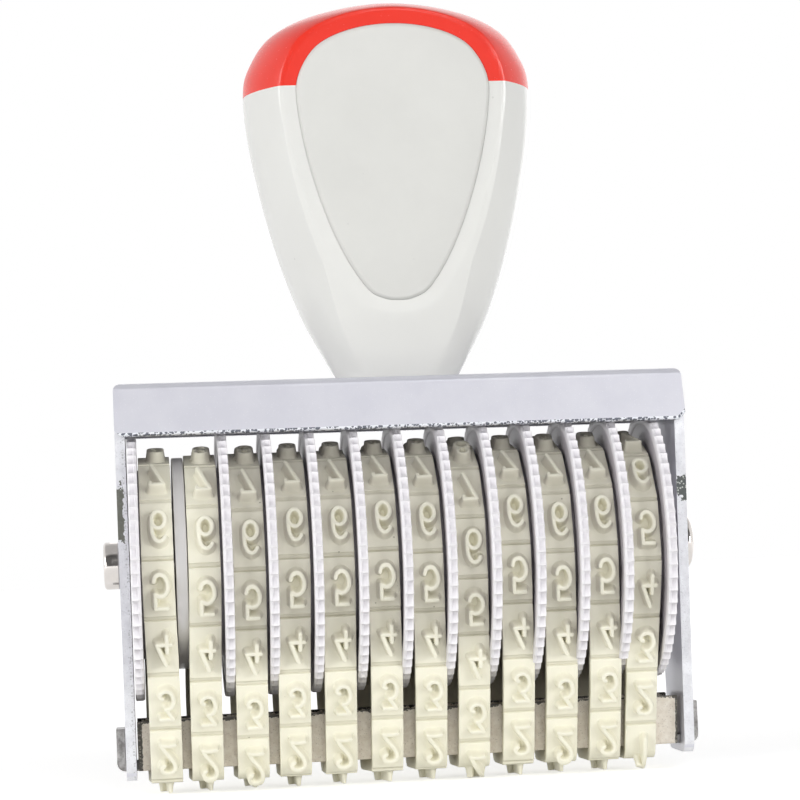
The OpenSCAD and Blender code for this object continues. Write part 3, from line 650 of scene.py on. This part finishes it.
# The bolt's section runs along its shank and over the head: a straight edge, a small round and a dome
seat, end, axle, head = turned["halfFrame"] + 0.1, turned["axleEnd"], turned["axle"], turned["head"]
bow = np.linspace(0, 1, 14)
swing = np.sin(bow * np.pi / 2)
domeX = seat + turned["headEdge"] + turned["dome"] * swing
domeRadius = 0.35 * head * np.sqrt(1 - 0.999 * swing ** 2) + 0.65 * head * (1 - bow ** 2)
domeRadius[-1] = 0
boltX = np.concatenate([[end, end, end + 0.1, -20, 0, 20, seat, seat, seat + 0.1], domeX])
boltRadius = np.concatenate([[0, axle - 0.1, axle, axle, axle, axle, axle, head - 0.1, head], domeRadius])
addTurned("axleBolt", boltX, boltRadius, 72, 30, brightSteel, "axle_bolt")

nut, nutEnd = turned["nut"], turned["nutLength"] + 0.1
nutX = np.array([nutEnd, nutEnd, nutEnd - 0.08, nutEnd - 0.25, nutEnd - 0.35, 1.0, 0.2, 0.1, 0.1])
nutRadius = [bore, nut - 0.4, nut - 0.2, nut - 0.05, nut, nut, nut, nut - 0.1, bore]
addTurned("axleNut", -turned["halfFrame"] - nutX, nutRadius, 72, 30, brightSteel, "axle_nut")

# Dished washer: two parallel curves, half a millimetre apart
dishRadius = turned["springBore"] + np.linspace(0, 1, 10) * (turned["spring"] - turned["springBore"])
dishX = turned["springRise"] * (1 - np.clip((dishRadius - 3.0) / 2.0, 0, 1))
dishX = turned["springRight"] - turned["springRise"] - turned["springSheet"] + dishX
dishX = np.concatenate([dishX, dishX[::-1] + turned["springSheet"]])
dishRadius = np.concatenate([dishRadius, dishRadius[::-1]])
addTurned("springWasher", dishX, dishRadius, 64, 40, springSteel, "spring_washer")
print("turned pieces made")


# Handle, cap and label plate; outlines are shares of the half width and of the height
handle = {
    "half": 20.6, "height": 54.0, "footDepth": 6.5, "topDepth": 12.2, "split": 41.2, "crease": 35,
    "pocket": 0.7, "plate": 1.2, "bevel": 0.45, "seat": 0.03, "lip": 1.8, "fall": 0.26, "shift": 0.45,
    "side": [(0, 0), (0.36, 0), (0.405, 0), (0.5, 0.06), (0.67, 0.19), (0.835, 0.38), (0.965, 0.61),
             (1, 0.77), (0.945, 0.85), (0.79, 0.925), (0.48, 0.975), (0, 1)],
    "face": [(0, 0), (0.17, 0), (0.2, 0), (0.34, 0.08), (0.44, 0.19), (0.56, 0.38), (0.695, 0.6),
             (0.75, 0.75), (0.7, 0.82), (0.55, 0.885), (0.3, 0.932), (0, 0.948)],
    "label": [(0, 0.203), (0.105, 0.209), (0.215, 0.235), (0.36, 0.32), (0.49, 0.436), (0.592, 0.568),
              (0.648, 0.689), (0.653, 0.772), (0.564, 0.842), (0.434, 0.882), (0.232, 0.908), (0, 0.917)]}
faceSlope = math.atan2(handle["topDepth"] - handle["footDepth"], handle["height"])
faceNormal = np.array([0, -math.cos(faceSlope), -math.sin(faceSlope)])


def outlineCurve(keys):
    # up the right side and down the left one, through the keys and their mirror images
    half = np.array(keys) * [handle["half"], handle["height"]]
    mirror = half * [-1, 1]
    curve = throughKeys(np.concatenate([mirror[1:2], half, mirror[-2:-3:-1]]), 12)
    curve[:, 1] = np.maximum(curve[:, 1], 0)
    return np.concatenate([curve, (curve * [-1, 1])[-2:0:-1]])


def faceDepth(height):
    return handle["footDepth"] + (handle["topDepth"] - handle["footDepth"]) * height / handle["height"]


def onFace(outline, lift, side=-1):
    flat = np.stack([outline[:, 0], side * faceDepth(outline[:, 1]), frameTop + outline[:, 1]], 1)
    return flat + lift * faceNormal * [1, -side, 1]


def outward(outline):
    # the normal of every point of an outline
    along = np.roll(outline, -1, 0) - np.roll(outline, 1, 0)
    return along[:, ::-1] * [1, -1] / np.linalg.norm(along, axis=1, keepdims=True)


def grown(outline, by):
    return outline + by * outward(outline)


lipLine = grown(outlineCurve(handle["label"]), handle["lip"])
faceLine = outlineCurve(handle["face"])
lipGap = np.sum((faceLine - lipLine) * outward(lipLine), 1, keepdims=True)
faceLine = faceLine + (np.maximum(lipGap, 0.5) - lipGap) * outward(lipLine)     # never inside the lip
lipGap = np.maximum(lipGap, 0.5)
middle = 0 * faceLine + [0, 0.52 * handle["height"]]


def handleRing(angle, side):
    # from the edge of a face to the side's edge: a sine in the width, a cosine in the depth
    edge = outlineCurve(handle["side"])
    crease = math.radians(handle["crease"])
    share = (np.sin(angle) - math.sin(crease)) / (1 - math.sin(crease))
    flat = faceLine + (edge - faceLine) * share
    y = side * faceDepth(faceLine[:, 1]) * np.ravel(np.cos(angle)) / math.cos(crease)
    return np.stack([flat[:, 0], y, frameTop + flat[:, 1]], 1)


def toward(ring, target, distance):
    way = target - ring
    return ring + way * distance / np.linalg.norm(way, axis=1, keepdims=True)


def fallAway(points):
    # Outside the lip that runs round the label the front falls back, in step with the distance from it
    flat = points[:, [0, 2]] - [0, frameTop]
    away = np.linalg.norm(flat[:, None] - lipLine[None], axis=2)
    nearest = np.argmin(away, 1)
    outside = np.sum((flat - lipLine[nearest]) * outward(lipLine)[nearest], 1) > 0
    distance = np.where(outside, np.min(away, 1), 0)
    soft = np.sqrt(distance ** 2 + 0.04) - 0.2
    share = np.clip(-points[:, 1] / faceDepth(flat[:, 1]), 0, 1)
    points = points.copy()
    points[:, 1] += handle["fall"] * np.minimum(soft, 9) * share
    return points


def handleLoft():
    # Rings of points run from the middle of the label's pocket over the lip, the front, the crease and
    # the side, and over the back to its middle.
    crease = math.radians(handle["crease"])
    label = grown(outlineCurve(handle["label"]), handle["seat"])
    rim, floor = onFace(label, 0), onFace(label, -handle["pocket"])
    angles = np.linspace(crease + math.radians(5), math.pi / 2, 12)
    front, back = handleRing(crease, -1), handleRing(crease, 1)
    lip, backMiddle = onFace(lipLine, 0), onFace(middle, 0, 1)
    # far from the lip, towards the foot, the crease turns into a wide round
    soft = eased((lipGap - 1) / 3.5) * eased(faceLine[:, 1:] / 14 - 0.1)
    starts = angles[0] + math.radians(24) * soft
    frontIn, frontOut = toward(front, lip, (0.45 + 0.45 * soft) * lipGap), handleRing(starts, -1)
    backIn, backOut = toward(back, onFace(label, 0, 1), 0.8), handleRing(angles[0], 1)
    # the crease is a quadratic curve from the face to the side, with the sharp corner as its key
    bends = np.linspace(0, 1, 8)[:-1]
    roundFront = [(1 - u) ** 2 * frontIn + 2 * u * (1 - u) * front + u ** 2 * frontOut for u in bends]
    roundBack = [(1 - u) ** 2 * backIn + 2 * u * (1 - u) * back + u ** 2 * backOut for u in bends[::-1]]
    rings = [onFace(middle, -handle["pocket"]), floor, rim, 0.1 * rim + 0.9 * lip, lip]
    rings += [lip + (frontIn - lip) * u for u in (0.1, 0.2, 0.35, 0.5, 0.65, 0.8)] + roundFront
    rings += [handleRing(starts + (math.pi / 2 - starts) * u, -1) for u in np.linspace(0, 1, 12)[:-1]]
    rings += [handleRing(angles[-1], -1)] + [handleRing(a, 1) for a in angles[-2::-1]]
    rings += roundBack + [(backIn + backMiddle) / 2, backMiddle]
    points = np.array(rings)
    quads = gridQuads(len(rings), points.shape[1], False, True)
    return fallAway(points.reshape(-1, 3)) + [handle["shift"], 0, 0], quads, np.zeros(points.shape[:2])


def cutAcross(mesh, height, keepLow):
    # one side of a level cut is kept, and the cut is closed
    work = bmesh.new()
    work.from_mesh(mesh)
    cut = bmesh.ops.bisect_plane(work, geom=work.verts[:] + work.edges[:] + work.faces[:], dist=1e-7,
                                 plane_co=(0, 0, height * mm), plane_no=(0, 0, 1),
                                 clear_outer=keepLow, clear_inner=not keepLow)
    rimEdges = [e for e in cut["geom_cut"] if isinstance(e, bmesh.types.BMEdge)]
    bmesh.ops.contextual_create(work, geom=rimEdges)
    bmesh.ops.recalc_face_normals(work, faces=work.faces)
    work.to_mesh(mesh)
    work.free()
    mesh.shade_smooth()
    mesh.set_sharp_from_angle(angle=math.radians(35))
    return mesh


def softEdges(piece, width, angle=40):
    bevel = piece.modifiers.new("softEdges", "BEVEL")
    bevel.width = width * mm
    bevel.segments = 3
    bevel.limit_method = "ANGLE"
    bevel.angle_limit = math.radians(angle)
    bevel.harden_normals = True


splitHeight = frameTop + handle["split"]
bodyMesh = cutAcross(buildMesh("handleBody", *handleLoft()), splitHeight, True)
capMesh = cutAcross(buildMesh("handleCap", *handleLoft()), splitHeight, False)
softEdges(addPiece("handleBody", bodyMesh, handleWhite, "stamp", ["handle_body"]), 0.15)
softEdges(addPiece("handleCap", capMesh, capRed, "stamp", ["handle_cap"]), 0.15)

# The plate: back, side, bevel and a flat face
label = outlineCurve(handle["label"])
proud = handle["plate"] - handle["pocket"]
bevel = handle["bevel"]
plateRings = np.array([
    onFace(middle, 0.05 - handle["pocket"]), onFace(label, 0.05 - handle["pocket"]),
    onFace(label, proud - bevel - 0.05), onFace(grown(label, -0.04), proud - bevel + 0.04),
    onFace(grown(label, 0.06 - bevel), proud - 0.05), onFace(grown(label, -0.06 - bevel), proud),
    onFace(0.5 * label + 0.5 * middle, proud), onFace(middle, proud)])
plateRings[..., 0] += handle["shift"]
plateMesh = buildMesh("labelPlate", plateRings.reshape(-1, 3), gridQuads(8, len(label), False, True),
                      np.zeros(plateRings.shape[:2]), sharp=28)
addPiece("labelPlate", plateMesh, plateGrey, "stamp", ["label_plate"])
print("handle made")


# Sheet metal: merged copies of the solids, reshaped a little, with rounded edges
sheet = {
    "top": 57.5, "corner": (40, 11), "bend": 2.0, "legs": 38.5, "channel": 49, "drop": 0.75,
    "slope": 0.006, "rightEnd": 37, "leanFrom": 50.2, "lean": 0.07, "backEdge": (51.5, 9),
    "backRise": 0.6, "frontEdge": (50.4, -10.9), "frontRound": 0.5, "bracketRound": 0.2,
    "anvilRound": 0.15, "pulled": (36, 38.65), "leftPull": 0.15, "rightPull": 0.2, "tabs": (39, 8),
    "tabDrop": 1.0, "tabSide": 38.7}


def readValues(items, key, kind=float, width=3):
    values = np.empty(len(items) * width, kind)
    items.foreach_get(key, values)
    return values.reshape(-1, width)


def reshapeBracket(place):
    # Each outer bend shrinks to half its radius, towards its corner. Then the channel drops, a little
    # more to the right, where its end leans in, and less at the back flange's lower edge.
    high = place[:, 2] > sheet["top"] - 0.01 - sheet["bend"]
    place[high, 2] = (place[high, 2] + sheet["top"]) / 2
    for axis, corner in enumerate(sheet["corner"]):
        far = high & (np.abs(place[:, axis]) > corner - sheet["bend"])
        place[far, axis] = np.copysign((np.abs(place[far, axis]) + corner) / 2, place[far, axis])
    channel = place[:, 2] > sheet["channel"]
    x, y, z = place[channel].T
    x = x - sheet["lean"] * np.maximum(z - sheet["leanFrom"], 0) * (x > sheet["rightEnd"])
    backEdge = (z < sheet["backEdge"][0]) & (y > sheet["backEdge"][1])
    z = z - sheet["drop"] - sheet["slope"] * x + sheet["backRise"] * backEdge
    place[channel] = np.stack([x, y, z], 1)


def reshapeAnvil(place):
    # both ends of the bar stand a little to the left, and the tabs outside the legs are shorter
    side = np.abs(place[:, 0])
    pull = np.where(place[:, 0] < 0, sheet["leftPull"], sheet["rightPull"])
    tab = (side > sheet["tabs"][0]) & (place[:, 2] > sheet["tabs"][1])
    place[:, 0] -= pull * ((side > sheet["pulled"][0]) & (side < sheet["pulled"][1]))
    place[:, 2] -= sheet["tabDrop"] * tab


def sheetPiece(name, node, reshape, material):
    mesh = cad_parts[node].data.copy()
    mesh.name = name
    mesh.materials.clear()
    work = bmesh.new()
    work.from_mesh(mesh)
    bmesh.ops.remove_doubles(work, verts=work.verts, dist=0.002 * mm)
    bmesh.ops.dissolve_limit(work, angle_limit=math.radians(0.6), verts=work.verts, edges=work.edges)
    work.to_mesh(mesh)
    work.free()
    place = readValues(mesh.vertices, "co") / mm
    reshape(place)
    mesh.vertices.foreach_set("co", (place * mm).ravel())
    mesh.update()
    mesh.attributes.new("tone", "FLOAT", "POINT")
    mesh.shade_smooth()
    mesh.set_sharp_from_angle(angle=math.radians(30))
    return addPiece(name, mesh, material, "stamp", [node])


def finishSheet(piece, width):
    softEdges(piece, width, 38)
    weights = piece.modifiers.new("flatFaces", "WEIGHTED_NORMAL")
    weights.keep_sharp = False


bracket = sheetPiece("bracket", "frame", reshapeBracket, satinSteel)
for material in (leftEdge, rightEdge, shearAndReflection):
    bracket.data.materials.append(material)
normals = readValues(bracket.data.polygons, "normal")
centres = readValues(bracket.data.polygons, "center") / mm
side = np.abs(centres[:, 0])
legFront = (np.abs(normals[:, 1]) > 0.9) & (side > sheet["legs"])
lowEdge = (normals[:, 2] < -0.6) & (np.abs(centres[:, 2] - 54) > 2.5)       # but not the channel's inside
# downward edges inside the legs take slot 3, the sheared edge with its painted reflection; the legs' front
# faces take the edge slots
edgeIndex = np.where(lowEdge & (side < sheet["legs"]), 3, np.where(centres[:, 0] < 0, 1, 2))
edgeIndex = np.where(legFront | lowEdge, edgeIndex, 0).astype(np.int32)
bracket.data.polygons.foreach_set("material_index", edgeIndex)

# the front flange's lower edge outside takes a wider round than the other edges
ends = readValues(bracket.data.vertices, "co")[readValues(bracket.data.edges, "vertices", np.int32, 2)] / mm
low = np.all((ends[..., 2] < sheet["frontEdge"][0]) & (ends[..., 1] < sheet["frontEdge"][1]), 1)
weights = bracket.data.attributes.new("bevel_weight_edge", "FLOAT", "EDGE").data
weights.foreach_set("value", low.astype(np.float32))
wide = bracket.modifiers.new("frontRound", "BEVEL")
wide.limit_method = "WEIGHT"
wide.width = sheet["frontRound"] * mm
wide.segments = 3
# the round takes the same painted reflection
wide.material = 3
finishSheet(bracket, sheet["bracketRound"])

anvilBar = sheetPiece("anvilBar", "anvil", reshapeAnvil, anvilSheet)
anvilBar.data.materials.append(tabSteel)
tabFaces = np.abs(readValues(anvilBar.data.polygons, "center")[:, 0]) > sheet["tabSide"] * mm
anvilBar.data.polygons.foreach_set("material_index", tabFaces.astype(np.int32))
finishSheet(anvilBar, sheet["anvilRound"])

for node, material in {"handle_screw": brightSteel, "screw_washer": springSteel}.items():
    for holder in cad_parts[node].material_slots:
        holder.link = "OBJECT"
        holder.material = material
print("sheet pieces made")


# Floor: its own colour keeps the shadows, and camera, gloss and glass rays see it lifted to white,
# more so far from the stamp
ground = {"color": (0.92, 0.92, 0.92, 1), "rough": 0.9, "lift": (0.5, 0.75), "reach": (0.06, 0.4),
          "half": 3, "down": -0.0001}
paleFloor, tree = newMaterial("paleFloor")
rays = tree.nodes.new("ShaderNodeLightPath").outputs
seen = calc(tree, "MAXIMUM", rays["Is Camera Ray"],
            calc(tree, "MAXIMUM", rays["Is Glossy Ray"], rays["Is Transmission Ray"]))
away = newNode(tree, "ShaderNodeVectorMath", operation="LENGTH", Vector=objectPlace(tree)).outputs["Value"]
lift = fadeValue(tree, away, *ground["reach"], *ground["lift"])
fill(tree, tree.nodes["Principled BSDF"], BaseColor=ground["color"], Roughness=ground["rough"],
     EmissionColor=(1, 1, 1, 1), EmissionStrength=times(tree, seen, lift))
floorMesh = bpy.data.meshes.new("floor")
corners = [(x * ground["half"], y * ground["half"]) for x, y in ((-1, -1), (1, -1), (1, 1), (-1, 1))]
floorMesh.from_pydata([(x, y, ground["down"]) for x, y in corners], [], [(0, 1, 2, 3)])
floorMesh.materials.append(paleFloor)
floor = bpy.data.objects.new("floor", floorMesh)
bpy.context.scene.collection.objects.link(floor)

light = {"world": 0.77, "zenith": 0.25, "glossyZenith": 0.55, "front": 0.14, "aim": (0, 0, 0.045), "lamps": [
    # name, place in metres, size in metres, watts
    ("leftLamp", (-0.82, -0.85, 0.16), 0.45, 4.4),
    ("rightLamp", (0.78, -0.85, 0.16), 0.45, 4.9),
    ("frontLamp", (0.12, -0.82, 0.42), 0.25, 0.7),
    ("sideLamp", (-0.95, -0.3, 0.3), 0.5, 2.2),
    ("rearLamp", (0.3, 0.9, 0.4), 0.8, 1.0)]}

# The room is white, weaker overhead, and gloss shows it darker in front, where a studio is dark
world = bpy.data.worlds.new("studio")
bpy.context.scene.world = world
world.use_nodes = True
tree = world.node_tree
rays = tree.nodes.new("ShaderNodeLightPath").outputs
way = tree.nodes.new("ShaderNodeTexCoord").outputs["Generated"]
way = newNode(tree, "ShaderNodeSeparateXYZ", Vector=way).outputs
diffuseLevel = fadeValue(tree, way["Z"], 0.1, 0.9, light["world"], light["world"] * light["zenith"])
glossLevel = times(tree, fadeValue(tree, way["Y"], -0.62, -0.42, light["front"], 1),
                   fadeValue(tree, way["Z"], 0.5, 0.95, 1, light["glossyZenith"]))
strength = mixValue(tree, rays["Is Glossy Ray"], diffuseLevel, glossLevel)
seen = calc(tree, "MAXIMUM", rays["Is Camera Ray"], rays["Is Transmission Ray"])
fill(tree, tree.nodes["Background"], Color=(1, 1, 1, 1), Strength=mixValue(tree, seen, strength, 1))
for name, place, size, power in light["lamps"]:
    lampData = bpy.data.lights.new(name, "AREA")
    lampData.shape = "SQUARE"
    lampData.size = size
    lampData.energy = power
    lamp = bpy.data.objects.new(name, lampData)
    lamp.location = place
    lamp.rotation_euler = (Vector(light["aim"]) - lamp.location).to_track_quat("-Z", "Y").to_euler()
    bpy.context.scene.collection.objects.link(lamp)

# The camera's focal length and optical centre are in pixels, its place in millimetres, its turns in radians
view = {"focal": 2736, "centre": (475.4, 393.97), "place": (-35.87, -390.08, 32.80),
        "yaw": 0.121, "pitch": 0.055, "roll": 0.043, "sensor": 36, "pixels": 800}
cosYaw, sinYaw = math.cos(view["yaw"]), math.sin(view["yaw"])
cosPitch, sinPitch = math.cos(view["pitch"]), math.sin(view["pitch"])
ahead = np.array([sinYaw * cosPitch, cosYaw * cosPitch, sinPitch])
level = np.array([cosYaw, -sinYaw, 0])
down = np.cross(ahead, level)
right = math.cos(view["roll"]) * level + math.sin(view["roll"]) * down
down = -math.sin(view["roll"]) * level + math.cos(view["roll"]) * down
cameraData = bpy.data.cameras.new("camera")
cameraData.sensor_fit = "HORIZONTAL"
cameraData.sensor_width = view["sensor"]
cameraData.lens = view["focal"] * view["sensor"] / view["pixels"]
cameraData.shift_x = 0.5 - view["centre"][0] / view["pixels"]
cameraData.shift_y = view["centre"][1] / view["pixels"] - 0.5
cameraData.clip_start = 0.01
camera = bpy.data.objects.new("camera", cameraData)
facing = np.eye(4)
facing[:3, 0], facing[:3, 1], facing[:3, 2] = right, -down, -ahead
facing[:3, 3] = np.array(view["place"]) * mm
camera.matrix_world = Matrix(facing.tolist())
bpy.context.scene.collection.objects.link(camera)
bpy.context.scene.camera = camera
bpy.context.scene.view_settings.view_transform = "Standard"
print("floor, light and camera made")
